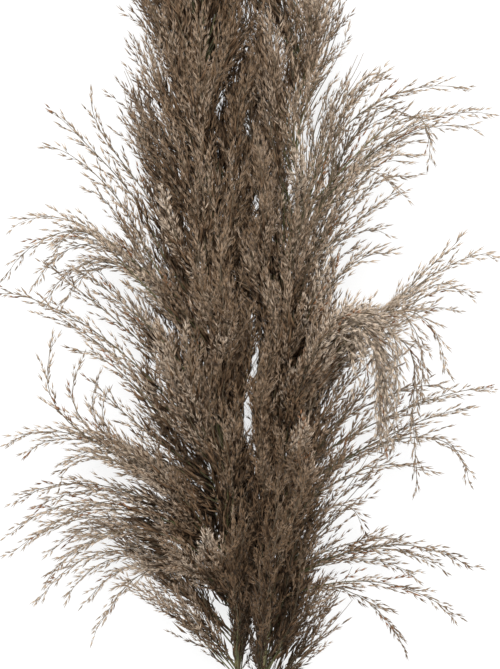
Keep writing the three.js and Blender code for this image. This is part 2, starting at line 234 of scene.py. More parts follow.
# Twine
STRANDS = 3  # twisted into the twine
STRAND_RADIUS = 0.62
STRAND_OFFSET = 0.62  # of a strand's middle from the twine's
LOOSE_OFFSET = 1.15  # the same at a cut end
LOOSE_PART = (0.8, 1)  # share of an end where it comes loose
STRAND_CORNERS = 7
STRAND_SHADES = np.array([0.35, 0.5, 0.65])
TWIST = 7.5  # length of one turn of the strands
TURN_POINTS = 300
TURN_CROSSING = 6  # how sharply the turns pass over from one culm to the other
KNOT_POINTS = 90
KNOT_SIZE = 0.92
KNOT_DEPTH = 1.1
KNOT_RISE = 0.75  # above the turns, in thicknesses of the twine
END_POINTS = 60
END_BEND = (0.6, 4, 2)  # the point that bends an end: share of its reach, along the bunch and up
END_ALONG = 12  # how far an end's tip is along the bunch
FIBRES = 260  # loose ones on the twine
FIBRE_LENGTHS = (1.5, 4)
FIBRE_WIDTH = 0.12
FIBRE_SHADES = (0.5, 0.99)
FIBRE_SPREAD = np.array([1, 1, 0.6])
FIBRE_LIFT = np.array([0, 0, 0.3])

# The pieces' own maps and places
STEEP = 0.9  # height part of a direction that counts as upright
MAP_NAME = "OFBake"
MAP_EDGE = 0.001
MAP_WIDTH = 0.012  # half of a piece's, up and down on the map
MAP_TURN = 0.4  # keeps a ring's corners apart on the map
LOWEST_POINT = 0.2  # above the surface that the bunch lies on
MULTIPLY = {"data_type": "RGBA", "blend_type": "MULTIPLY"}  # of a Mix node, for two colours

# The two plumes. Line rows are distance from the tie, sideways and height. spread and reach are as in the
# solids. tone is added to the shades of the upper part. The value after it is added to those of the lower
# part, as painted light and shade. glimpse is where the main stalk shows. Rows of dense_part are distance
# from the tie, and how far out the crowded part of the head reaches. full_outliers has how many branches
# stand for an outlying one, by its number in the list.
# Each branch has where it leaves the line, a point on its way and its tip.
LEFT = {
    "name": "left",
    "side": -1,
    "seed": 11,
    "spread": 0.0,
    "reach": 1.0,
    "tone": 0.0,
    # Painted light: the left head's lower part lighter, as if lit from the upper left
    "low_painted_light": 0.12,
    "line": np.array([
        (-205, -15, 4.0), (0, -3.65, 6.3), (180, -11, 16), (320, -20, 40), (480, -30, 62),
        (640, -38, 74), (810, -50, 80), (940, -62, 74), (1030, -78, 58),
    ], float),
    "rings": (-120, 95),
    "head_start": 180,
    "glimpse": (452, 484),
    "dense_part": np.array([
        (280, 90), (366, 142), (416, 100), (466, 134), (516, 118), (566, 112), (616, 80), (666, 136),
        (716, 120), (766, 104), (816, 98), (920, 94),
    ], float),
    "full_outliers": {
        4: 3, 5: 4, 12: 4, 13: 3, 15: 3, 16: 2, 17: 3, 19: 3, 22: 4, 23: 4, 24: 3, 25: 4, 26: 3,
    },
    "inner_branches": [
        (330, (-30, 430, 75), (-38, 540, 100)),
        (360, (-24, 470, 60), (-26, 575, 80)),
        (340, (-40, 450, 100), (-52, 530, 120)),
        (420, (-60, 520, 90), (-85, 600, 100)),
        (430, (-55, 540, 60), (-70, 620, 60)),
        (410, (-70, 520, 70), (-98, 590, 75)),
        (500, (-44, 600, 90), (-60, 700, 95)),
        (520, (-52, 612, 60), (-72, 706, 60)),
        (300, (-100, 345, 50), (-175, 345, 40)),
    ],
    "tuft": [],
    "outliers": [
        (560, (-130, 713, 85), (-193, 786, 92)),
        (590, (-130, 738, 60), (-162, 806, 52)),
        (530, (-128, 688, 110), (-191, 746, 128)),
        (520, (-130, 672, 50), (-170, 710, 40)),
        (560, (-150, 664, 95), (-234, 676, 84)),
        (540, (-154, 664, 80), (-250, 621, 40)),
        (520, (-140, 652, 118), (-186, 645, 124)),
        (470, (-150, 590, 60), (-201, 634, 62)),
        (450, (-165, 572, 90), (-250, 606, 78)),
        (440, (-150, 548, 40), (-215, 584, 34)),
        (420, (-120, 520, 105), (-173, 549, 122)),
        (400, (-115, 478, 60), (-160, 519, 66)),
        (390, (-172, 472, 80), (-204, 559, 70)),
        (400, (-165, 463, 62), (-250, 451, 34)),
        (370, (-130, 440, 96), (-193, 424, 96)),
        (350, (-150, 412, 60), (-248, 393, 26)),
        (345, (-150, 398, 84), (-240, 366, 56)),
        (330, (-140, 380, 46), (-243, 340, 12)),
        (320, (-115, 372, 90), (-200, 322, 78)),
        (305, (-130, 345, 40), (-222, 290, 10)),
        (300, (-95, 330, 70), (-160, 262, 44)),
        (480, (-130, 600, 96), (-178, 626, 84)),
        (500, (-30, 560, 130), (-26, 588, 176)),
        (300, (-38, 350, 95), (-44, 375, 140)),
        (600, (-75, 665, 130), (-88, 702, 160)),
        (380, (-112, 430, 100), (-160, 452, 118)),
        (440, (-70, 520, 128), (-92, 560, 150)),
    ],
}
RIGHT = {
    "name": "right",
    "side": 1,
    "seed": 29,
    "spread": 0.05,
    "reach": 0.58,
    "tone": 0.12,
    # Painted shade: the right head's lower part darker, away from the light
    "low_painted_light": -0.02,
    "line": np.array([
        (-195, 15, 4.0), (0, 3.65, 6.3), (160, 10, 15), (300, 19, 38), (460, 28, 60),
        (620, 36, 72), (800, 48, 80), (920, 58, 74), (1005, 72, 58),
    ], float),
    "rings": (-95, 130),
    "head_start": 160,
    "glimpse": (0, 1),  # none: the head starts past it
    "dense_part": np.array([
        (280, 56), (366, 56), (416, 52), (466, 84), (516, 112), (566, 100), (616, 44), (666, 34),
        (716, 36), (766, 44), (816, 54), (920, 60),
    ], float),
    "full_outliers": {1: 2, 9: 2, 14: 2, 22: 3, 26: 2, 27: 4, 28: 4, 29: 2},
    "inner_branches": [
        (370, (60, 450, 80), (95, 530, 90)),
        (360, (70, 440, 60), (112, 505, 60)),
        (380, (55, 470, 100), (85, 545, 110)),
        (350, (60, 420, 90), (100, 480, 95)),
        (400, (75, 480, 110), (118, 540, 112)),
        (640, (95, 775, 70), (134, 812, 60)),
        (580, (85, 722, 60), (156, 773, 50)),
        (570, (90, 700, 95), (150, 736, 100)),
        (650, (80, 765, 120), (120, 822, 124)),
        (500, (66, 602, 90), (116, 656, 84)),
    ],
    "tuft": [
        (440, (88, 586, 146), (132, 486, 130)),
        (430, (76, 578, 158), (124, 502, 150)),
        (440, (98, 584, 140), (140, 468, 112)),
        (430, (66, 566, 156), (104, 526, 160)),
    ],
    "outliers": [
        (690, (118, 790, 84), (212, 811, 80)),
        (670, (150, 767, 70), (250, 789, 48)),
        (680, (150, 776, 104), (177, 739, 84)),
        (640, (100, 722, 118), (155, 736, 132)),
        (620, (92, 724, 60), (149, 709, 40)),
        (600, (92, 668, 96), (139, 706, 108)),
        (580, (85, 655, 50), (132, 670, 44)),
        (530, (85, 618, 96), (135, 645, 112)),
        (500, (158, 610, 70), (210, 662, 66)),
        (500, (178, 620, 60), (250, 644, 34)),
        (480, (150, 590, 92), (216, 606, 92)),
        (470, (140, 572, 50), (206, 590, 24)),
        (460, (130, 586, 132), (188, 527, 100)),
        (470, (138, 562, 112), (162, 413, 60)),
        (450, (112, 586, 152), (141, 458, 116)),
        (430, (130, 500, 70), (196, 512, 62)),
        (420, (165, 492, 54), (250, 509, 28)),
        (402, (150, 470, 82), (218, 490, 78)),
        (400, (165, 462, 60), (219, 416, 24)),
        (370, (102, 430, 92), (172, 430, 92)),
        (340, (75, 392, 70), (109, 376, 66)),
        (310, (92, 350, 50), (152, 356, 40)),
        (300, (130, 352, 60), (230, 325, 22)),
        (290, (120, 320, 84), (205, 280, 56)),
        (285, (92, 305, 36), (160, 240, 8)),
        (455, (122, 590, 140), (168, 500, 108)),
        (430, (76, 562, 150), (118, 578, 172)),
        (400, (45, 455, 120), (52, 482, 166)),
        (670, (42, 715, 150), (46, 744, 182)),
        (540, (60, 600, 140), (76, 640, 168)),
    ],
}

# The camera looks straight down at the middle of the picture, which is this far from the tie
PICTURE_MIDDLE = 565.5
PICTURE_HEIGHT = 669.0
PICTURE_LEVEL = 75.0  # height at which the picture is true to size
LENS = 85.0
SENSOR = 36.0

# The stage, in metres
FLOOR_SIZE = 12
FLOOR_LEVEL = -0.0002
FLOOR_GLOW = 0.79
WHITE = (1, 1, 1, 1)
# Softboxes: sideways, along the bunch from the middle of the picture and up, then size and power
SOFTBOXES = ((-0.35, 1.1, 2.1, 1.1, 40), (0.6, 0.3, 2.3, 1.3, 22))


# Numbers

def draws_from(seed):
    """The same numbers as the solids' rule draws."""
    state = seed
    while True:
        state = (state * DRAW_FACTOR + DRAW_STEP) % DRAW_RANGE
        yield state / DRAW_RANGE


def mix(a, b, share):
    return a + (b - a) * share


def ease(low, high, value):
    """0 up to low, 1 from high on, and a smooth rise between them."""
    share = np.clip((value - low) / (high - low), 0, 1)
    return share * share * (3 - 2 * share)


def stretch(value, start, full, closing, end):
    """1 between full and closing, 0 before start and after end, and smooth between them."""
    return ease(start, full, value) * (1 - ease(closing, end, value))


def unit(vectors):
    return vectors / np.linalg.norm(vectors, axis=-1, keepdims=True)


def turned(vectors, sides, aboves, tilt, turn):
    """vectors tilted away from their own direction, towards a side that turn picks."""
    away = sides * np.cos(turn)[..., None] + aboves * np.sin(turn)[..., None]
    return vectors * np.cos(tilt)[..., None] + away * np.sin(tilt)[..., None]


def across_of(directions):
    """Two directions at right angles to each direction and to each other."""
    steep = np.abs(directions[..., 2:3]) > STEEP
    up = np.where(steep, np.array([1.0, 0, 0]), np.array([0, 0, 1.0]))
    sides = unit(np.cross(directions, up))
    return sides, np.cross(directions, sides)


def any_turn(rng, count):
    """Random angles all round, or one angle where count is None."""
    return rng.random(count) * 2 * math.pi


def lengths_along(path):
    """How far each point of a path is from its start, along it."""
    return np.concatenate([[0], np.cumsum(np.linalg.norm(np.diff(path, axis=0), axis=1))])


def sampled(rows, places, at):
    """Rows of three numbers that belong to places along a branch, read off at other places."""
    return np.stack([np.interp(at, places, rows[:, axis]) for axis in range(3)], axis=1)


def chosen_rows(rows, chosen):
    return {key: values[chosen] for key, values in rows.items()}


# The branches' paths

def line_point(plume, y):
    """The point of a plume's middle line at a distance y from the tie."""
    line = plume["line"]
    last = len(line) - 1
    i = int(np.clip(np.searchsorted(line[:, 0], y, side="left") - 1, 0, last - 1))
    rises = np.diff(line, axis=0) / np.diff(line[:, 0])[:, None]

    def slope(k):
        if k in (0, last):
            return rises[min(k, last - 1)]
        product = rises[k - 1] * rises[k]
        total = rises[k - 1] + rises[k]
        return np.where(product <= 0, 0, 2 * product / np.where(total == 0, 1, total))

    span = line[i + 1, 0] - line[i, 0]
    t = (y - line[i, 0]) / span
    point = (
        line[i] * (2 * t**3 - 3 * t**2 + 1)
        + slope(i) * span * (t**3 - 2 * t**2 + t)
        + line[i + 1] * (3 * t**2 - 2 * t**3)
        + slope(i + 1) * span * (t**3 - t**2)
    )
    return np.array([point[1], y, point[2]])


def line_direction(plume, y):
    return unit(line_point(plume, y + 1) - line_point(plume, y - 1))


def line_places(plume, y):
    """Where the middle line is sideways and in height at many distances y, straight from point to point."""
    along, sideways, height = plume["line"].T
    return np.interp(y, along, sideways), np.interp(y, along, height)


def kept_clear(point, plume, from_middle, from_floor):
    """The point moved as little as keeps it on its plume's side, off the floor and under HIGHEST."""
    side = plume["side"]
    height = min(max(point[2], from_floor), HIGHEST)
    return np.array([side * max(side * point[0], from_middle), point[1], height])


def sway(y):
    """The line between the two heads wanders a little from side to side, and their branches with it."""
    wave = SWAY_ASIDE + SWAY * np.cos((y - SWAY_CREST) / SWAY_LENGTH * 2 * math.pi)
    return wave * ease(*SWAY_START, y)


def swayed(points):
    points[:, 0] += sway(points[:, 1])
    return points


def in_slit(points):
    """Whether points lie in one of the narrow slits between the heads."""
    y = points[:, 1]
    width = sum(half * stretch(y, *places) for half, *places in SLITS)
    return abs(points[:, 0] - sway(y)) < width


def in_glimpse(points, plume):
    """Whether points lie over the short stretch of the main stalk that shows between the branches."""
    start, end = plume["glimpse"]
    full, closing = (mix(start, end, share) for share in GLIMPSE_OPEN)
    y = points[:, 1]
    sideways, height = line_places(plume, y)
    width = GLIMPSE * stretch(y, start, full, closing, end)
    return (abs(points[:, 0] - sideways - sway(y)) < width) & (points[:, 2] > height)


def left_open(points, plume):
    """Whether points lie where a head is left open."""
    return in_slit(points) | in_glimpse(points, plume)


def outside_of(points, plume, low, high):
    """0 inside a head's dense part and 1 well outside it, by how far the points are past its edge."""
    edge = np.interp(points[:, 1], *plume["dense_part"].T)
    return ease(low, high, plume["side"] * points[:, 0] - edge)


def ruled_branch(plume, y, azimuth, leave, bend, length, slack):
    """The path of a branch that leaves the middle line at one angle and bends steadily to another."""
    along = line_direction(plume, y)
    across = unit(np.array([1.0, 0, 0]) - along * along[0])
    above = np.cross(across, along)
    points = [line_point(plume, y)]
    inward = plume["side"] * math.cos(azimuth) < 0
    downward = math.sin(azimuth) < 0
    sideways = math.cos(azimuth) * (min(abs(points[0][0]) / ROOM, 1) if inward else plume["reach"])
    upwards = math.sin(azimuth) * (min(points[0][2] / ROOM, 1) if downward else 1)
    out = across * sideways + above * upwards
    step = length / (PATH_POINTS - 1)
    for k in range(1, PATH_POINTS):
        angle = mix(leave, bend, (k - 0.5) / (PATH_POINTS - 1))
        point = points[-1] + (along * math.cos(angle) + out * math.sin(angle)) * step
        parted = CLEAR_MIDDLE + slack * mix(CLOSED_SLACK, 1, stretch(point[1], *PARTING))
        points.append(kept_clear(point, plume, parted, CLEAR_FLOOR + slack))
    return swayed(np.array(points))


def curved_branch(plume, y, via, tip):
    """The path of a branch on one smooth curve from the middle line past a point to its tip."""
    start = line_point(plume, y)
    control = 2 * via - 0.5 * start - 0.5 * tip
    points = []
    for share in np.linspace(0, 1, PATH_POINTS):
        point = start * (1 - share) ** 2 + control * 2 * share * (1 - share) + tip * share**2
        points.append(kept_clear(point, plume, CLEAR_MIDDLE, CLEAR_FLOOR))
    return swayed(np.array(points))


# Branches, branchlets and spikelets

def solid_branches(plume, rng):
    """The branches that the rule gives the solids too, each with finer ones beside it."""
    draw = draws_from(plume["seed"])
    start, end = plume["head_start"], plume["line"][-1, 0]
    branches = []
    for i in range(BRANCHES):
        share = (i + 0.5) / BRANCHES
        y = mix(start + FIRST_BRANCH, end - LAST_BRANCH, share)
        azimuth = i * GOLDEN_ANGLE + (next(draw) - 0.5) * AZIMUTH_RANGE
        outward = max(plume["side"] * math.cos(azimuth), 0)
        low = 1 - ease(0, 0.5, share)
        leave = mix(*LEAVE, low) + (next(draw) - 0.5) * LEAVE_RANGE
        raised = max(math.sin(azimuth), 0)
        bend = BEND * next(draw) + outward * (plume["spread"] + LOW_SPREAD * low) + UPTURN * raised
        full = mix(BRANCH_LENGTH, TIP_BRANCH_LENGTH, ease(0.5, 1, share))
        length = full * mix(*LENGTHS, next(draw))
        slack = next(draw) * SLACK
        tone = rng.normal(*TONES["ruled"])
        for companion in range(1 + COMPANIONS):
            beside = min(companion, 1)
            change = rng.uniform(-1, 1, 4) * beside
            points = ruled_branch(
                plume,
                y + COMPANION["y"] * change[0],
                azimuth + COMPANION["azimuth"] * change[1],
                leave,
                bend + COMPANION["bend"] * change[2],
                length * (1 - COMPANION["length"] * beside + COMPANION["length"] * change[3]),
                slack + COMPANION["slack"] * companion,
            )
            branches.append({"points": points, "tone": tone, **RULED})
    return branches


def filler_branches(plume, rng):
    """More branches of the rule's kind, anywhere between the others."""
    first, last = plume["head_start"] + FILLER["y"][0], plume["line"][-1, 0] - FILLER["y"][1]
    branches = []
    for _ in range(FILLERS):
        points = ruled_branch(
            plume,
            rng.uniform(first, last),
            any_turn(rng, None),
            rng.uniform(*FILLER["leave"]),
            rng.uniform(*FILLER["bend"]),
            BRANCH_LENGTH * rng.uniform(*FILLER["length"]),
            rng.random() * SLACK,
        )
        branches.append({"points": points, "tone": rng.normal(*TONES["filler"]), **RULED})
    return branches


def outlying_branches(plume, rng):
    """The outlying branches. A full one has copies beside it, which are shorter."""
    branches = []
    for number, (y, via, tip) in enumerate(plume["outliers"]):
        root = line_point(plume, y)
        copies = plume["full_outliers"].get(number, 0)
        tone = rng.normal(*TONES["outlying"]) + (FULL_TONE if copies else 0)
        for copy in range(max(copies, 1)):
            shift = rng.normal(0, COPY_SHIFT["outlying"], 3) * min(copy, 1)
            length = 1 - min(SHORTER * copy, MOST_SHORTER) * rng.uniform(*SHORTER_RANGE)
            copy_via = root + (via + VIA_SHIFT * shift - root) * length
            copy_tip = root + (tip + shift - root) * length
            points = curved_branch(plume, y, copy_via, copy_tip)
            branches.append({"points": points, "tone": tone, **OUTLYING})
    return branches


def shifted_branch(plume, branch, shift):
    """The path of a copy of an inner or tuft branch."""
    y, via, tip = branch
    return curved_branch(plume, y, via + shift, tip + TIP_SHIFT * shift)


def branches_of(plume, rng):
    """Every branch of a plume, with its path, tone and kind."""
    branches = solid_branches(plume, rng) + filler_branches(plume, rng) + outlying_branches(plume, rng)
    for branch in plume["inner_branches"]:
        tone = rng.normal(*TONES["inner"])
        for _ in range(INNER_COPIES):
            points = shifted_branch(plume, branch, rng.normal(0, COPY_SHIFT["inner"], 3))
            branches.append({"points": points, "tone": tone, **INNER})
    for branch in plume["tuft"]:
        for _ in range(TUFT_COPIES):
            points = shifted_branch(plume, branch, rng.normal(0, COPY_SHIFT["tuft"], 3))
            branches.append({"points": points, "tone": rng.normal(*TONES["tuft"]), **OUTLYING})
    return branches


def branchlets_of(branches, plume, rng):
    """The branchlets of all the branches, as one array for each property."""
    rows = {key: [] for key in ("start", "direction", "curl", "size", "tone", "outlying", "thinned")}
    for branch in branches:
        points, outlying = branch["points"], branch["outlying"]
        reach = lengths_along(points)
        count = max(int(reach[-1] * (1 - BARE_SHARE) / BRANCHLET_GAP), FEWEST_BRANCHLETS)
        share = mix(BARE_SHARE, 1, (np.arange(count) + rng.random(count)) / count)
        at = share * reach[-1]
        along = unit(sampled(unit(np.gradient(points, axis=0)), reach, at))
        sides, aboves = across_of(along)
        turn = np.arange(count) * GOLDEN_ANGLE + any_turn(rng, None)
        tilt = np.radians(rng.uniform(*BRANCHLET_ANGLE, count))
        fullness = mix(ROOT_FULLNESS, 1, ease(BARE_SHARE, FULLEST[0], share))
        fullness *= mix(1, mix(*TIP_FULLNESS, outlying), ease(FULLEST[1], 1, share))
        rows["start"].append(sampled(points, reach, at))
        rows["direction"].append(turned(along, sides, aboves, tilt, turn))
        rows["curl"].append(along * CURL + rng.normal(0, CURL_SPREAD, (count, 3)))
        rows["size"].append(branch["branchlet"] * fullness * rng.uniform(*BRANCHLET_LENGTHS, count))
        rusty = rng.random(count) < RUSTY * outlying
        tone = branch["tone"] + rng.normal(0, BRANCHLET_TONE, count)
        rows["tone"].append(np.where(rusty, RUST_TONE, tone))
        rows["outlying"].append(np.full(count, outlying))
        rows["thinned"].append(np.full(count, branch["thinned"]))
    rows = {key: np.concatenate(values) for key, values in rows.items()}
    missing = rows["thinned"] * outside_of(rows["start"], plume, *DENSE_EDGE)
    return chosen_rows(rows, rng.random(len(missing)) > missing)


def bundles_of(branches, plume, rng):
    """The crowded spikelet bundles deep in a head, close along the inner part of each branch."""
    places = np.linspace(0, 1, PATH_POINTS)
    origins, directions = [], []
    for branch in branches:
        points = branch["points"]
        at = rng.uniform(BUNDLE_START, mix(*BUNDLE_END, branch["outlying"]), BUNDLES)
        origins.append(sampled(points, places, at))
        directions.append(unit(sampled(unit(np.gradient(points, axis=0)), places, at)))
    origin, direction = np.concatenate(origins), np.concatenate(directions)
    count = len(origin)
    sides, aboves = across_of(direction)
    turn = any_turn(rng, count)
    direction = turned(direction, sides, aboves, rng.uniform(*BUNDLE_TILT, count), turn)
    for way in (sides, aboves):
        origin += way * rng.normal(0, BUNDLE_SHIFT, (count, 1))
    near_neck = NECK_THINNED * (1 - ease(*NECK_EDGE, origin[:, 1] - plume["head_start"]))
    kept = rng.random(count) > np.maximum(outside_of(origin, plume, *BUNDLE_EDGE), near_neck)
    for share in (0, 0.5, 1):
        kept &= ~left_open(origin + direction * BUNDLE * share, plume)
    rows = {
        "origin": origin,
        "direction": direction,
        "roll": any_turn(rng, count),
        "size": BUNDLE * rng.uniform(*BUNDLE_SIZES, count),
        "shade": np.clip(rng.normal(*BUNDLE_PAINTED_SHADE, count), *BUNDLE_SHADES),
    }
    return chosen_rows(rows, kept)


def patches(points):
    """A slow change between -1 and 1 over the head: lighter and darker patches of a few centimetres."""
    x, y, z = points.T
    across = x / PATCH_ACROSS + PATCH_ACROSS_BEND * np.sin(y / PATCH_ACROSS_BENT)
    along = y / PATCH_ALONG + PATCH_ALONG_BEND * np.sin(x / PATCH_ALONG_BENT) + z / PATCH_HEIGHT
    return np.clip(PATCH_STRENGTH * (np.sin(across) + np.sin(along)), -1, 1)


def shades_of(origin, tone, plume, rng):
    """Spikelet shades: painted shade deep in a head and in the valley, lighter outside, painted light higher
    up.
    """
    x, y, z = origin.T
    sideways, height = line_places(plume, y)
    depth = ease(*DEPTH, np.hypot(x - sideways, z - height))
    upper = ease(*UPPER_PART, y)
    valley = np.exp(-(((x - sway(y)) / VALLEY) ** 2))
    # Painted shade deep in a head and in the valley, and painted light in the upper part and low on the left
    # head
    shade = mix(mix(*INNER_PAINTED_SHADE, upper), mix(*OUTER_SHADE, upper), depth)
    shade += mix(plume["low_painted_light"], UPPER_PAINTED_LIGHT + plume["tone"], upper)
    shade += tone - mix(*VALLEY_PAINTED_SHADE, upper) * valley + mix(*PATCH_SHADE, upper) * patches(origin)
    shade += rng.normal(0, SHADE_SPREAD, len(shade))
    return np.where(shade > RUST_TONE / 2, RUST_SHADE, np.clip(shade, *SHADES))


def spikelets_of(branchlets, plume, rng):
    """The spikelets of all the branchlets: one at each tip and the rest by turns on the two sides."""
    size = branchlets["size"][:, None]
    gap = mix(*SPIKELET_GAP, branchlets["outlying"])[:, None]
    t = 1 - np.arange(SPIKELETS)[None, :] * gap / size
    t[:, 1:] += rng.normal(0, SPIKELET_SHIFT, (len(size), SPIKELETS - 1))
    kept = t > BARE_BRANCHLET
    row, nth = np.nonzero(kept)
    t = t[kept]
    count = len(t)
    size = size[row]
    start, direction, curl = (branchlets[key][row] for key in ("start", "direction", "curl"))
    origin = start + direction * size * t[:, None] + curl * size * t[:, None] ** 2
    along = unit(direction + 2 * curl * t[:, None])
    sides, aboves = across_of(along)
    turn = nth * math.pi + rng.normal(0, TURN_SPREAD, count) + row * GOLDEN_ANGLE
    tilt = np.where(nth == 0, TIP_ANGLE, np.radians(rng.uniform(*SPIKELET_ANGLE, count)))
    directions = turned(along, sides, aboves, tilt, turn)
    sinks = origin[:, 2] + directions[:, 2] * SPIKELET < LOW_TIP
    directions[sinks, 2] = abs(directions[sinks, 2])
    outlying = branchlets["outlying"][row]
    rows = {
        "origin": origin,
        "direction": directions,
        "shade": shades_of(origin, branchlets["tone"][row], plume, rng),
        "roll": any_turn(rng, count),
        "size": SPIKELET * rng.uniform(*SPIKELET_SIZES, count),
        "width": mix(*SPIKELET_WIDTH, outlying),
        "outlying": outlying,
    }
    kept = ~(left_open(origin, plume) | left_open(origin + directions * SPIKELET, plume))
    return chosen_rows(rows, kept)


def hairs_of(spikelets, rng):
    """The silky hairs: one beside each of some spikelets, leaning off it."""
    chosen = rng.random(len(spikelets["size"])) < mix(*HAIR_SHARE, spikelets["outlying"])
    rows = chosen_rows(spikelets, chosen)
    count = len(rows["size"])
    sides, aboves = across_of(rows["direction"])
    tilt = rng.uniform(*HAIR_TILT, count)
    rows["direction"] = turned(rows["direction"], sides, aboves, tilt, any_turn(rng, count))
    rows["size"] = HAIR * rng.uniform(*HAIR_SIZES, count)
    return rows


# Meshes

def work_on(name):
    """Names the newest object and opens it for editing with nothing selected."""
    bpy.context.object.name = name
    bpy.ops.object.mode_set(mode="EDIT")
    bpy.ops.mesh.select_all(action="DESELECT")


def select_faces(test):
    """Selects the faces whose middle passes a test, in the mesh that is being edited."""
    bpy.ops.object.mode_set(mode="OBJECT")
    for face in bpy.context.object.data.polygons:
        face.select = test(face.center)
    bpy.ops.object.mode_set(mode="EDIT")


def select_corners(test):
    """Selects the corners that pass a test, in the mesh that is being edited."""
    bpy.ops.object.mode_set(mode="OBJECT")
    for corner in bpy.context.object.data.vertices:
        corner.select = test(corner.co)
    bpy.ops.object.mode_set(mode="EDIT")


def taken(master):
    """A finished master's points and triangles. The master itself is removed."""
    bpy.ops.object.mode_set(mode="EDIT")
    bpy.ops.mesh.select_all(action="SELECT")
    bpy.ops.mesh.normals_make_consistent(inside=False)
    bpy.ops.mesh.quads_convert_to_tris()
    bpy.ops.object.mode_set(mode="OBJECT")
    mesh = master.data
    points = np.array([vertex.co for vertex in mesh.vertices])
    triangles = np.array([tuple(face.vertices) for face in mesh.polygons])
    bpy.data.objects.remove(master)
    return points, triangles


def needle(width):
    """A needle one unit long along Z, with its three-cornered root on the origin."""
    bpy.ops.object.select_all(action="DESELECT")
    bpy.ops.mesh.primitive_cone_add(vertices=3, radius1=width / 2, radius2=0, depth=1, location=(0, 0, 0.5))
    bpy.ops.object.transform_apply(location=True)
    return bpy.context.object


def floret(name, width):
    """A slim floret one unit long, pointed at both ends and widest a third of the way up, in edit mode."""
    master = needle(width)
    work_on(name)
    select_corners(lambda corner: corner.z < WIDEST and corner.y < 0)
    bpy.ops.transform.translate(value=(0, 0, WIDEST))
    return master


def spikelet_master():
    """One spikelet: two florets that part towards their tips."""
    master = floret("spikelet_master", FLORET_WIDTH)
    bpy.ops.mesh.select_all(action="SELECT")
    bpy.ops.mesh.duplicate()
    bpy.ops.transform.resize(value=SECOND_FLORET, center_override=(0, 0, 0))
    bpy.ops.transform.rotate(value=FLORETS_PART, orient_axis="X", center_override=(0, 0, 0))
    return taken(master)


def bundle_master():
    """One coarse bundle: a single spindle."""
    return taken(floret("bundle_master", BUNDLE_WIDTH))


def hair_master():
    """One silky hair, or one loose fibre of the twine."""
    return taken(needle(1.0))


def stalk_master(sides, rings, pointed=False):
    """A straight stalk, one unit long and one in radius, with rings of corners from its root to its tip."""
    bpy.ops.object.select_all(action="DESELECT")
    bpy.ops.mesh.primitive_circle_add(vertices=sides, radius=1, fill_type="NGON")
    master = bpy.context.object
    work_on("stalk_master")
    bpy.ops.mesh.select_all(action="SELECT")
    for _ in range(rings - 1):
        bpy.ops.mesh.extrude_region_move(TRANSFORM_OT_translate={"value": (0, 0, 1 / (rings - 1))})
    if pointed:
        bpy.ops.mesh.merge(type="CENTER")
    return taken(master)


def tie_place():
    """The tie's place in the frame, on the surface that the bunch lies on."""
    low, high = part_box("twine")
    return np.array([(low.x + high.x) / 2, (low.y + high.y) / 2, 0])


def placed(points):
    """Points of the bunch, in millimetres from the tie, in the frame."""
    lifted = np.maximum(points, np.array([-np.inf, -np.inf, LOWEST_POINT]))
    return lifted * MM + tie_place()


def made_piece(name, points, triangles, map_points, material):
    """One mesh of all the copies. points is copies by corners, and map_points their places on the map."""
    copies, corners = points.shape[:2]
    mesh = bpy.data.meshes.new(name)
    mesh.vertices.add(copies * corners)
    mesh.vertices.foreach_set("co", placed(points.reshape(-1, 3)).astype(np.float32).ravel())
    faces = (triangles[None] + np.arange(copies)[:, None, None] * corners).reshape(-1, 3)
    mesh.loops.add(faces.size)
    mesh.loops.foreach_set("vertex_index", faces.astype(np.int32).ravel())
    mesh.polygons.add(len(faces))
    mesh.polygons.foreach_set("loop_start", np.arange(0, faces.size, 3, dtype=np.int32))
    mesh.polygons.foreach_set("use_smooth", np.ones(len(faces), bool))
    uv = mesh.uv_layers.new(name=MAP_NAME)
    uv.data.foreach_set("uv", map_points.reshape(-1, 2)[faces.ravel()].astype(np.float32).ravel())
    mesh.update(calc_edges=True)
    mesh.materials.append(material)
    piece = bpy.data.objects.new(name, mesh)
    bpy.context.scene.collection.objects.link(piece)
    return piece


def map_of(master_points, shades, along):
    """The map of the copies: across is how far along the piece, and up is its shade, with a little width."""
    turn = np.arctan2(master_points[:, 1], master_points[:, 0])
    width = MAP_WIDTH * np.sin(turn + MAP_TURN)
    up = np.clip(shades[:, None] + width[None], MAP_EDGE, 1 - MAP_EDGE)
    across = np.broadcast_to(np.clip(along, MAP_EDGE, 1 - MAP_EDGE)[None], up.shape)
    return np.stack([across, up], axis=-1)


def straight_copies(name, master, rows, widths, material):
    """Copies of a straight master, each at its own place, direction, length and shade."""
    points, triangles = master
    sides, aboves = across_of(rows["direction"])
    turn_cos, turn_sin = np.cos(rows["roll"])[:, None], np.sin(rows["roll"])[:, None]
    sides, aboves = sides * turn_cos + aboves * turn_sin, aboves * turn_cos - sides * turn_sin
    made = (
        rows["origin"][:, None]
        + sides[:, None] * (points[None, :, 0:1] * widths[:, None, None])
        + aboves[:, None] * (points[None, :, 1:2] * widths[:, None, None])
        + rows["direction"][:, None] * (points[None, :, 2:3] * rows["size"][:, None, None])
    )
    return made_piece(name, made, triangles, map_of(points, rows["shade"], points[:, 2]), material)


def bent_copies(name, master, paths, radii, shades, places, material):
    """Copies of a stalk, bent along paths (copies by rings by 3). places are its root and tip on the map."""
    points, triangles = master
    rings = paths.shape[1]
    radii = np.broadcast_to(radii, paths.shape[:2])
    ring = np.rint(points[:, 2] * (rings - 1)).astype(int)
    sides, aboves = across_of(unit(np.gradient(paths, axis=1)))
    made = (
        paths[:, ring]
        + sides[:, ring] * points[None, :, 0:1] * radii[:, ring, None]
        + aboves[:, ring] * points[None, :, 1:2] * radii[:, ring, None]
    )
    return made_piece(name, made, triangles, map_of(points, shades, mix(*places, points[:, 2])), material)


def joined(name, objects):
    """The objects as one, under a name."""
    bpy.ops.object.select_all(action="DESELECT")
    for item in objects:
        item.select_set(True)
    bpy.context.view_layer.objects.active = objects[0]
    bpy.ops.object.join()
    objects[0].name = name
    objects[0].data.name = name
    return objects[0]


# Materials

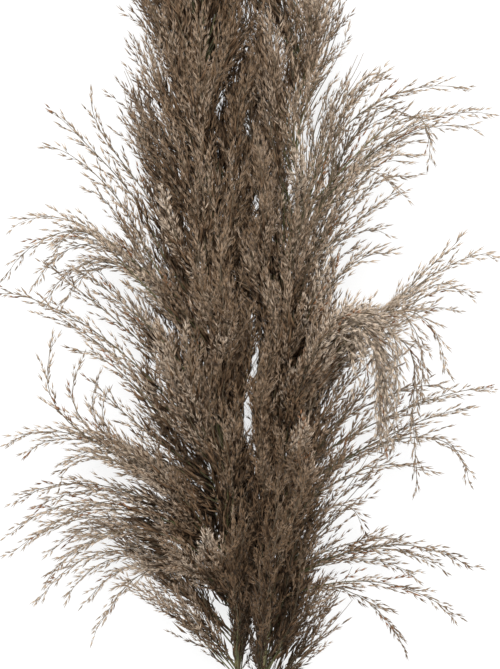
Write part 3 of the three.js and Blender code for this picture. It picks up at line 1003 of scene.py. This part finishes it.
def linear(hexed):
    """A six-digit sRGB hex colour as linear RGBA."""
    parts = [int(hexed[i : i + 2], 16) / 255 for i in (1, 3, 5)]
    return [p / 12.92 if p <= 0.04045 else ((p + 0.055) / 1.055) ** 2.4 for p in parts] + [1.0]


def add_node(tree, kind, settings=None, stops=(), **inputs):
    """Adds a node with its settings, a ramp's stops, and its inputs: values or sockets to link."""
    node = tree.nodes.new(kind)
    for key, value in (settings or {}).items():
        setattr(node, key, value)
    if stops:
        elements = node.color_ramp.elements
        while len(elements) < len(stops):
            elements.new(0.5)
        for element, (place, colour) in zip(elements, stops):
            element.position = place
            element.color = linear(colour)
    for key, value in inputs.items():
        socket = node.inputs[int(key[1:])] if key[1:].isdigit() else node.inputs[key.replace("_", " ")]
        if isinstance(value, bpy.types.NodeSocket):
            tree.links.new(value, socket)
        else:
            socket.default_value = value
    return node


def new_material(name):
    material = bpy.data.materials.new(name)
    material.use_nodes = True
    tree = material.node_tree
    tree.nodes.clear()
    return material, tree


def finish_material(tree, **inputs):
    shader = add_node(tree, "ShaderNodeBsdfPrincipled", **inputs)
    add_node(tree, "ShaderNodeOutputMaterial", Surface=shader.outputs["BSDF"])


def papery_glume():
    """Dried glume and lemma: dull papery taupe, darker at its own root, with painted shade deep in the head.
    """
    material, tree = new_material("papery_dried_glume")
    place = add_node(tree, "ShaderNodeUVMap", {"uv_map": MAP_NAME})
    parts = add_node(tree, "ShaderNodeSeparateXYZ", Vector=place.outputs["UV"])
    # The last two stops are the rust brown of a few outlying branchlets
    # The shade on the map holds painted light and shade as well as the spikelets' own tone
    tone = add_node(tree, "ShaderNodeValToRGB", Fac=parts.outputs["Y"], stops=[
        (0.0, "#3a2c1c"), (0.14, "#644f3b"), (0.3, "#7c6751"), (0.5, "#95826f"), (0.72, "#bcae9f"),
        (0.93, "#d2c6b9"), (0.955, "#9b785b"), (1.0, "#936a4c"),
    ])
    fall = add_node(tree, "ShaderNodeValToRGB", Fac=parts.outputs["X"], stops=[
        (0.0, "#cdc1b2"), (0.5, "#e5ddd3"), (1.0, "#f4f0ec"),
    ])
    colour = add_node(
        tree, "ShaderNodeMix", MULTIPLY, i0=1.0, i6=tone.outputs["Color"], i7=fall.outputs["Color"],
    )
    finish_material(tree, Base_Color=colour.outputs[2], Roughness=0.82, Specular_IOR_Level=0.25)
    return material


def silky_hair():
    """Silky hair of a dried floret: pale, thin and a little glossy, so it catches the light as a haze."""
    material, tree = new_material("silky_floret_hair")
    place = add_node(tree, "ShaderNodeUVMap", {"uv_map": MAP_NAME})
    parts = add_node(tree, "ShaderNodeSeparateXYZ", Vector=place.outputs["UV"])
    # The shade on the map is its spikelet's, so it carries that spikelet's painted light and shade
    tone = add_node(tree, "ShaderNodeValToRGB", Fac=parts.outputs["Y"], stops=[
        (0.0, "#7b6c5f"), (0.5, "#a29385"), (1.0, "#cabdb0"),
    ])
    finish_material(tree, Base_Color=tone.outputs["Color"], Roughness=0.5)
    return material


def dry_stalk():
    """Dried branch stalk: woody, olive near the root and tan towards the tip."""
    material, tree = new_material("dry_branch_stalk")
    place = add_node(tree, "ShaderNodeUVMap", {"uv_map": MAP_NAME})
    parts = add_node(tree, "ShaderNodeSeparateXYZ", Vector=place.outputs["UV"])
    tone = add_node(tree, "ShaderNodeValToRGB", Fac=parts.outputs["X"], stops=[
        (0.0, "#7c7551"), (0.2, "#6c6e40"), (0.45, "#77694f"), (1.0, "#8c7861"),
    ])
    dark = add_node(tree, "ShaderNodeValToRGB", Fac=parts.outputs["Y"], stops=[
        (0.0, "#8c8c8c"), (1.0, "#ffffff"),
    ])
    colour = add_node(
        tree, "ShaderNodeMix", MULTIPLY, i0=1.0, i6=tone.outputs["Color"], i7=dark.outputs["Color"],
    )
    finish_material(tree, Base_Color=colour.outputs[2], Roughness=0.6)
    return material


def waxy_culm():
    """A dry grass culm: hard, a little waxy, straw turning olive, with fine lines and scars at its rings."""
    material, tree = new_material("waxy_straw_culm")
    place = add_node(tree, "ShaderNodeUVMap", {"uv_map": MAP_NAME})
    parts = add_node(tree, "ShaderNodeSeparateXYZ", Vector=place.outputs["UV"])
    tone = add_node(tree, "ShaderNodeValToRGB", Fac=parts.outputs["X"], stops=[
        (0.0, "#d8c9a4"), (0.016, "#c9b78c"), (0.022, "#ab986f"), (0.235, "#a29067"), (0.247, "#5d4b30"),
        (0.256, "#b8a57c"), (0.3, "#a3946c"), (0.785, "#93885f"), (0.797, "#56482e"), (0.806, "#a5986e"),
        (0.85, "#8b8159"), (1.0, "#776f4c"),
    ])
    stretched = add_node(
        tree, "ShaderNodeMapping", Vector=place.outputs["UV"],
        Scale=(CULM_LENGTH / LINE_LENGTH, CULM_GIRTH / LINE_GAP, 1.0),
    )
    lines = add_node(
        tree, "ShaderNodeTexNoise", Vector=stretched.outputs["Vector"], Scale=1.0, Detail=3.0, Roughness=0.6,
    )
    shade = add_node(tree, "ShaderNodeValToRGB", Fac=lines.outputs["Fac"], stops=[
        (0.3, "#b4ad9c"), (0.5, "#e6e2d6"), (0.7, "#ffffff"),
    ])
    colour = add_node(
        tree, "ShaderNodeMix", MULTIPLY, i0=1.0, i6=tone.outputs["Color"], i7=shade.outputs["Color"],
    )
    finish_material(tree, Base_Color=colour.outputs[2], Roughness=0.45)
    return material


def jute():
    """Jute twine: coarse brown bast fibres, dull, each strand and loose fibre in its own shade."""
    material, tree = new_material("coarse_jute")
    place = add_node(tree, "ShaderNodeUVMap", {"uv_map": MAP_NAME})
    parts = add_node(tree, "ShaderNodeSeparateXYZ", Vector=place.outputs["UV"])
    tone = add_node(tree, "ShaderNodeValToRGB", Fac=parts.outputs["Y"], stops=[
        (0.3, "#8a6c47"), (0.5, "#a98c63"), (0.7, "#b89b72"), (1.0, "#cdb68f"),
    ])
    finish_material(tree, Base_Color=tone.outputs["Color"], Roughness=0.9)
    return material


# Culms

def culm_ends(plume):
    return plume["line"][0, 0], plume["head_start"] - GAP


def culm_radius(plume, y):
    start, end = culm_ends(plume)
    if y < 0:
        plain = mix(BUTT_RADIUS, TIE_RADIUS, (y - start) / -start)
    else:
        plain = mix(TIE_RADIUS, NECK_RADIUS, y / end)
    offsets, swells = zip(*RING_PROFILE)
    return plain + RING_SWELL * sum(np.interp(y - ring, offsets, swells) for ring in plume["rings"])


def straight_culm(plume):
    """A culm stood up on its butt, with its swollen rings and a hollow in the cut."""
    start, end = culm_ends(plume)
    stations = set(np.linspace(start, end, int((end - start) / CULM_STEP)))
    stations |= {ring + offset for ring in plume["rings"] for offset, _ in RING_PROFILE}
    stations = sorted(stations)
    bpy.ops.object.select_all(action="DESELECT")
    bpy.ops.mesh.primitive_circle_add(
        vertices=CULM_CORNERS, radius=culm_radius(plume, start), fill_type="NGON",
    )
    piece = bpy.context.object
    work_on(f"{plume['name']}_culm_surface")
    bpy.ops.mesh.select_all(action="SELECT")
    for before, after in zip(stations, stations[1:]):
        bpy.ops.mesh.extrude_region_move(TRANSFORM_OT_translate={"value": (0, 0, after - before)})
        change = culm_radius(plume, after) / culm_radius(plume, before)
        bpy.ops.transform.resize(value=(change, change, 1), center_override=(0, 0, after - start))
    select_faces(lambda centre: centre.z < HOLLOW_DEPTH)
    bpy.ops.mesh.inset(thickness=BUTT_RADIUS * (1 - PITH))
    bpy.ops.mesh.extrude_region_move(TRANSFORM_OT_translate={"value": (0, 0, HOLLOW_DEPTH)})
    taper = (HOLLOW_TAPER, HOLLOW_TAPER, 1)
    bpy.ops.transform.resize(value=taper, center_override=(0, 0, HOLLOW_DEPTH))
    bpy.ops.mesh.select_all(action="SELECT")
    bpy.ops.mesh.normals_make_consistent(inside=False)
    bpy.ops.object.mode_set(mode="OBJECT")
    bpy.ops.object.shade_smooth_by_angle(angle=SMOOTH_ANGLE)
    return piece


def map_culm(plume, mesh, points):
    """Gives a straight culm its map: across is the way along it, the cut first, and up goes round it."""
    start, end = culm_ends(plume)
    along = np.interp(start + points[:, 2], [start, *plume["rings"], end], CULM_PLACES)
    radius = np.hypot(points[:, 0], points[:, 1])
    cut = (points[:, 2] < CULM_STEP / 2) & (radius < CUT_EDGE * BUTT_RADIUS)
    along[cut] = CUT_PLACE * radius[cut] / BUTT_RADIUS
    turn = (np.arctan2(points[:, 1], points[:, 0]) / (2 * math.pi)) % 1
    corner = np.array([loop.vertex_index for loop in mesh.loops])
    around = turn[corner]
    for face in mesh.polygons:
        loops = slice(face.loop_start, face.loop_start + face.loop_total)
        if np.ptp(around[loops]) > 0.5:
            around[loops] = np.where(around[loops] < 0.5, 1 - MAP_EDGE, around[loops])
    uv = mesh.uv_layers.active
    uv.name = MAP_NAME
    uv.data.foreach_set("uv", np.stack([along[corner], around], axis=1).astype(np.float32).ravel())


def culm_piece(plume, material):
    """A culm, laid along its plume's line."""
    piece = straight_culm(plume)
    mesh = piece.data
    points = np.array([vertex.co for vertex in mesh.vertices])
    map_culm(plume, mesh, points)
    stations = culm_ends(plume)[0] + points[:, 2]
    middles = np.array([line_point(plume, y) for y in stations])
    sides, aboves = across_of(np.array([line_direction(plume, y) for y in stations]))
    laid = placed(middles + sides * points[:, 0:1] + aboves * points[:, 1:2])
    mesh.vertices.foreach_set("co", laid.astype(np.float32).ravel())
    mesh.update()
    mesh.materials.append(material)
    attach(piece, "root")
    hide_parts(f"{plume['name']}_culm")


# Twine

def strands_along(path, spread):
    """The twine's strands round a path: they twist as they go, and stand off its middle by spread."""
    along = unit(np.gradient(path, axis=0))
    normal = np.zeros_like(path)
    normal[0] = across_of(along[:1])[0][0]
    for k in range(1, len(path)):
        normal[k] = unit(normal[k - 1] - along[k] * np.dot(normal[k - 1], along[k]))
    other = np.cross(along, normal)
    twist = lengths_along(path)[None] / TWIST + np.arange(STRANDS)[:, None] / STRANDS
    turn = 2 * math.pi * twist
    away = normal[None] * np.cos(turn)[..., None] + other[None] * np.sin(turn)[..., None]
    return path[None] + away * spread[..., None]


def twine_paths():
    """The middle of the twine: the turns round both culms, the knot on top and the two short ends."""
    aside, height = RIGHT["line"][1, 1:]
    radius = TIE_RADIUS + GAP + TWINE / 2
    turn = np.linspace(0, TURNS, TURN_POINTS)
    angle = math.pi / 2 - turn * 2 * math.pi
    turns = np.stack([
        radius * np.cos(angle) + aside * np.tanh(TURN_CROSSING * np.cos(angle)),
        (turn - TURNS / 2) * TWINE * (TURNS - 1) / TURNS,
        height + radius * np.sin(angle),
    ], axis=1)
    middle = np.array([0, 0, height + radius + TWINE * KNOT_RISE])
    t = np.linspace(0, 2 * math.pi, KNOT_POINTS)
    # A trefoil knot
    knot = middle + KNOT_SIZE * np.stack([
        np.sin(t) + 2 * np.sin(2 * t), np.cos(t) - 2 * np.cos(2 * t), -KNOT_DEPTH * np.sin(3 * t),
    ], axis=1)
    ends = []
    for side in (-1, 1):
        reach, along, up = END_BEND
        bend = middle + np.array([side * END_REACH * reach, side * along, up])
        tip = np.array([side * END_REACH, side * END_ALONG, TWINE])
        t = np.linspace(0, 1, END_POINTS)[:, None]
        ends.append(middle * (1 - t) ** 2 + bend * 2 * t * (1 - t) + tip * t**2)
    return turns, knot, ends


def twine_fibres(surface, hair, material, rng):
    """Loose fibres that start at random points of the strands."""
    rows = {
        "origin": surface[rng.integers(0, len(surface), FIBRES)],
        "direction": unit(rng.normal(0, 1, (FIBRES, 3)) * FIBRE_SPREAD + FIBRE_LIFT),
        "roll": rng.random(FIBRES),
        "size": rng.uniform(*FIBRE_LENGTHS, FIBRES),
        "shade": rng.uniform(*FIBRE_SHADES, FIBRES),
    }
    return straight_copies("twine_fibres", hair, rows, np.full(FIBRES, FIBRE_WIDTH), material)


def twine_piece(material, hair, rng):
    """The tie: twisted strands, a little untwisted at the two cut ends, with loose fibres."""
    turns, knot, ends = twine_paths()
    tight = [np.full(len(path), STRAND_OFFSET) for path in (turns, knot)]
    loose = mix(STRAND_OFFSET, LOOSE_OFFSET, ease(*LOOSE_PART, np.linspace(0, 1, END_POINTS)))
    parts, surface = [], []
    for number, (path, spread) in enumerate(zip([turns, knot, *ends], [*tight, loose, loose])):
        strands = strands_along(path, spread)
        parts.append(bent_copies(
            f"twine_part_{number}", stalk_master(STRAND_CORNERS, len(path)), strands, STRAND_RADIUS,
            STRAND_SHADES, (0, 1), material,
        ))
        surface.append(strands.reshape(-1, 3))
    parts.append(twine_fibres(np.concatenate(surface), hair, material, rng))
    piece = joined("twisted_twine", parts)
    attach(piece, "root")
    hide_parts("twine")


# Heads

def stalk_shades(count, rng):
    return np.clip(rng.normal(*STALK_SHADE, count), 0, 1)


def head_stalks(plume, branches, branchlets, masters, material, rng):
    """All the stalks of a head: its branches, their branchlets and the main stalk inside it."""
    name = plume["name"]
    paths = np.stack([branch["points"] for branch in branches])
    radii = STALK * np.linspace(1, STALK_TIP, PATH_POINTS)
    thick = bent_copies(
        f"{name}_branches", masters["branch"], paths, radii, stalk_shades(len(paths), rng), (0, 1), material,
    )
    t = np.linspace(0, 1, len(BRANCHLET_RADII))[None, :, None]
    size = branchlets["size"][:, None, None]
    paths = branchlets["start"][:, None] + branchlets["direction"][:, None] * size * t
    paths += branchlets["curl"][:, None] * size * t**2
    fine = bent_copies(
        f"{name}_branchlets", masters["branchlet"], paths, BRANCHLET_RADII, stalk_shades(len(paths), rng),
        (0.5, 1), material,
    )
    stations = np.linspace(culm_ends(plume)[1], plume["line"][-1, 0] - MAIN_STALK_END, MAIN_STALK_RINGS)
    paths = swayed(np.array([line_point(plume, y) for y in stations]))[None]
    radii = np.linspace(NECK_RADIUS, MAIN_STALK_TIP, MAIN_STALK_RINGS)
    main = bent_copies(
        f"{name}_main_stalk", masters["main"], paths, radii, MAIN_STALK_SHADE, (MAP_EDGE, 0.5), material,
    )
    return joined(f"{name}_head_stalks", [thick, fine, main])


def head_pieces(plume, masters, materials, rng):
    """A head's pieces: its stalks, its spikelets in a lower and an upper part, its bundles and its hairs."""
    name = plume["name"]
    branches = branches_of(plume, rng)
    branchlets = branchlets_of(branches, plume, rng)
    spikelets = spikelets_of(branchlets, plume, rng)
    pieces = [head_stalks(plume, branches, branchlets, masters, materials["stalk"], rng)]
    lower = spikelets["origin"][:, 1] < np.median(spikelets["origin"][:, 1])
    for part, chosen in (("lower", lower), ("upper", ~lower)):
        rows = chosen_rows(spikelets, chosen)
        pieces.append(straight_copies(
            f"{name}_{part}_spikelets", masters["spikelet"], rows, rows["size"] * rows["width"],
            materials["glume"],
        ))
    rows = bundles_of(branches, plume, rng)
    pieces.append(straight_copies(
        f"{name}_inner_bundles", masters["bundle"], rows, rows["size"], materials["glume"],
    ))
    rows = hairs_of(spikelets, rng)
    widths = np.full(len(rows["size"]), HAIR_WIDTH)
    pieces.append(straight_copies(f"{name}_head_hairs", masters["hair"], rows, widths, materials["hair"]))
    for piece in pieces:
        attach(piece, "root")
        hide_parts(f"{name}_head")


masters = {
    "spikelet": spikelet_master(),
    "bundle": bundle_master(),
    "hair": hair_master(),
    "branch": stalk_master(4, PATH_POINTS),
    "branchlet": stalk_master(3, len(BRANCHLET_RADII), pointed=True),
    "main": stalk_master(8, MAIN_STALK_RINGS),
}
materials = {
    "glume": papery_glume(),
    "hair": silky_hair(),
    "stalk": dry_stalk(),
    "culm": waxy_culm(),
    "jute": jute(),
}
rng = np.random.default_rng(SEED)
for plume in (LEFT, RIGHT):
    head_pieces(plume, masters, materials, rng)
    culm_piece(plume, materials["culm"])
twine_piece(materials["jute"], masters["hair"], rng)


# Stage

def add_floor():
    """A matte white board."""
    bpy.ops.mesh.primitive_plane_add(size=FLOOR_SIZE, location=(0, 0, FLOOR_LEVEL))
    floor = bpy.context.object
    floor.name = "floor"
    material, tree = new_material("matte_white_board")
    finish_material(
        tree, Base_Color=linear("#747474"), Roughness=0.9,
        Emission_Color=WHITE, Emission_Strength=FLOOR_GLOW,
    )
    floor.data.materials.append(material)


def add_lights(middle):
    """Even white light from all round, and two softboxes that aim at the middle of the picture."""
    world = bpy.data.worlds.new("studio")
    bpy.context.scene.world = world
    world.use_nodes = True
    world.node_tree.nodes["Background"].inputs["Color"].default_value = WHITE
    world.node_tree.nodes["Background"].inputs["Strength"].default_value = 1.0
    for x, along, z, size, power in SOFTBOXES:
        light = bpy.data.lights.new("softbox", "AREA")
        light.shape = "DISK"
        light.size = size
        light.energy = power
        softbox = bpy.data.objects.new("softbox", light)
        softbox.location = (x, middle[1] + along, z)
        softbox.visible_camera = False
        aim = middle - np.array(softbox.location)
        softbox.rotation_euler = Vector(aim).to_track_quat("-Z", "Y").to_euler()
        bpy.context.scene.collection.objects.link(softbox)


def add_camera(middle):
    """A camera that looks straight down."""
    camera = bpy.data.cameras.new("camera")
    camera.lens = LENS
    camera.sensor_width = SENSOR
    eye = bpy.data.objects.new("camera", camera)
    distance = PICTURE_HEIGHT * LENS / SENSOR
    eye.location = (middle[0], middle[1], (PICTURE_LEVEL + distance) * MM)
    bpy.context.scene.collection.objects.link(eye)
    bpy.context.scene.camera = eye
    bpy.context.scene.view_settings.view_transform = "Standard"


def stage():
    middle = tie_place() + np.array([0, PICTURE_MIDDLE * MM, 0])
    add_floor()
    add_lights(middle)
    add_camera(middle)


stage()
